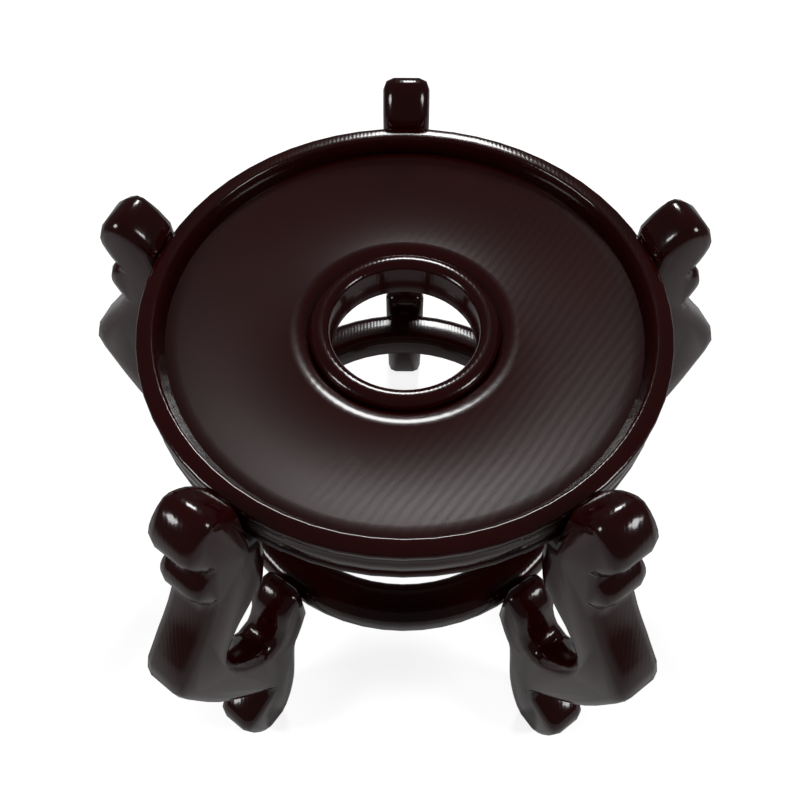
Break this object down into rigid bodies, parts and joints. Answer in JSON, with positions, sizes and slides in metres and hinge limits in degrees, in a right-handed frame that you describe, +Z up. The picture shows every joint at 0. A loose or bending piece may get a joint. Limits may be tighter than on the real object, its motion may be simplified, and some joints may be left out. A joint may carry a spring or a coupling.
{
  "type": "fishbowl stand",
  "caption": "Low lacquered stand with a dished round tray, scrolled sawn legs and a stretcher ring, made to carry a fishbowl or planter.",
  "frame": {"origin": "middle of the footprint's bounding box, on the floor; the tray's axis is 17.3 mm from it towards -Y", "axes": "+Z up, +Y towards the leg at the back of the picture, +X to its right"},
  "size_m": [0.4066, 0.3878, 0.3199],
  "materials": {
    "lacquered_wood": "gloss",
    "lacquered_panel": "gloss",
    "dowel_wood": "matte"
  },
  "bodies": {
    "root": {"tray_rim": "lacquered_wood", "tray_panel": "lacquered_panel", "centre_collar": "lacquered_wood", "stretcher_ring": "lacquered_wood", "leg_1": "lacquered_wood", "leg_2": "lacquered_wood", "leg_3": "lacquered_wood", "leg_4": "lacquered_wood", "leg_5": "lacquered_wood", "rim_dowel_1": "dowel_wood", "rim_dowel_2": "dowel_wood", "rim_dowel_3": "dowel_wood", "rim_dowel_4": "dowel_wood", "rim_dowel_5": "dowel_wood", "ring_dowel_1": "dowel_wood", "ring_dowel_2": "dowel_wood", "ring_dowel_3": "dowel_wood", "ring_dowel_4": "dowel_wood", "ring_dowel_5": "dowel_wood"}
  },
  "joints": []
}
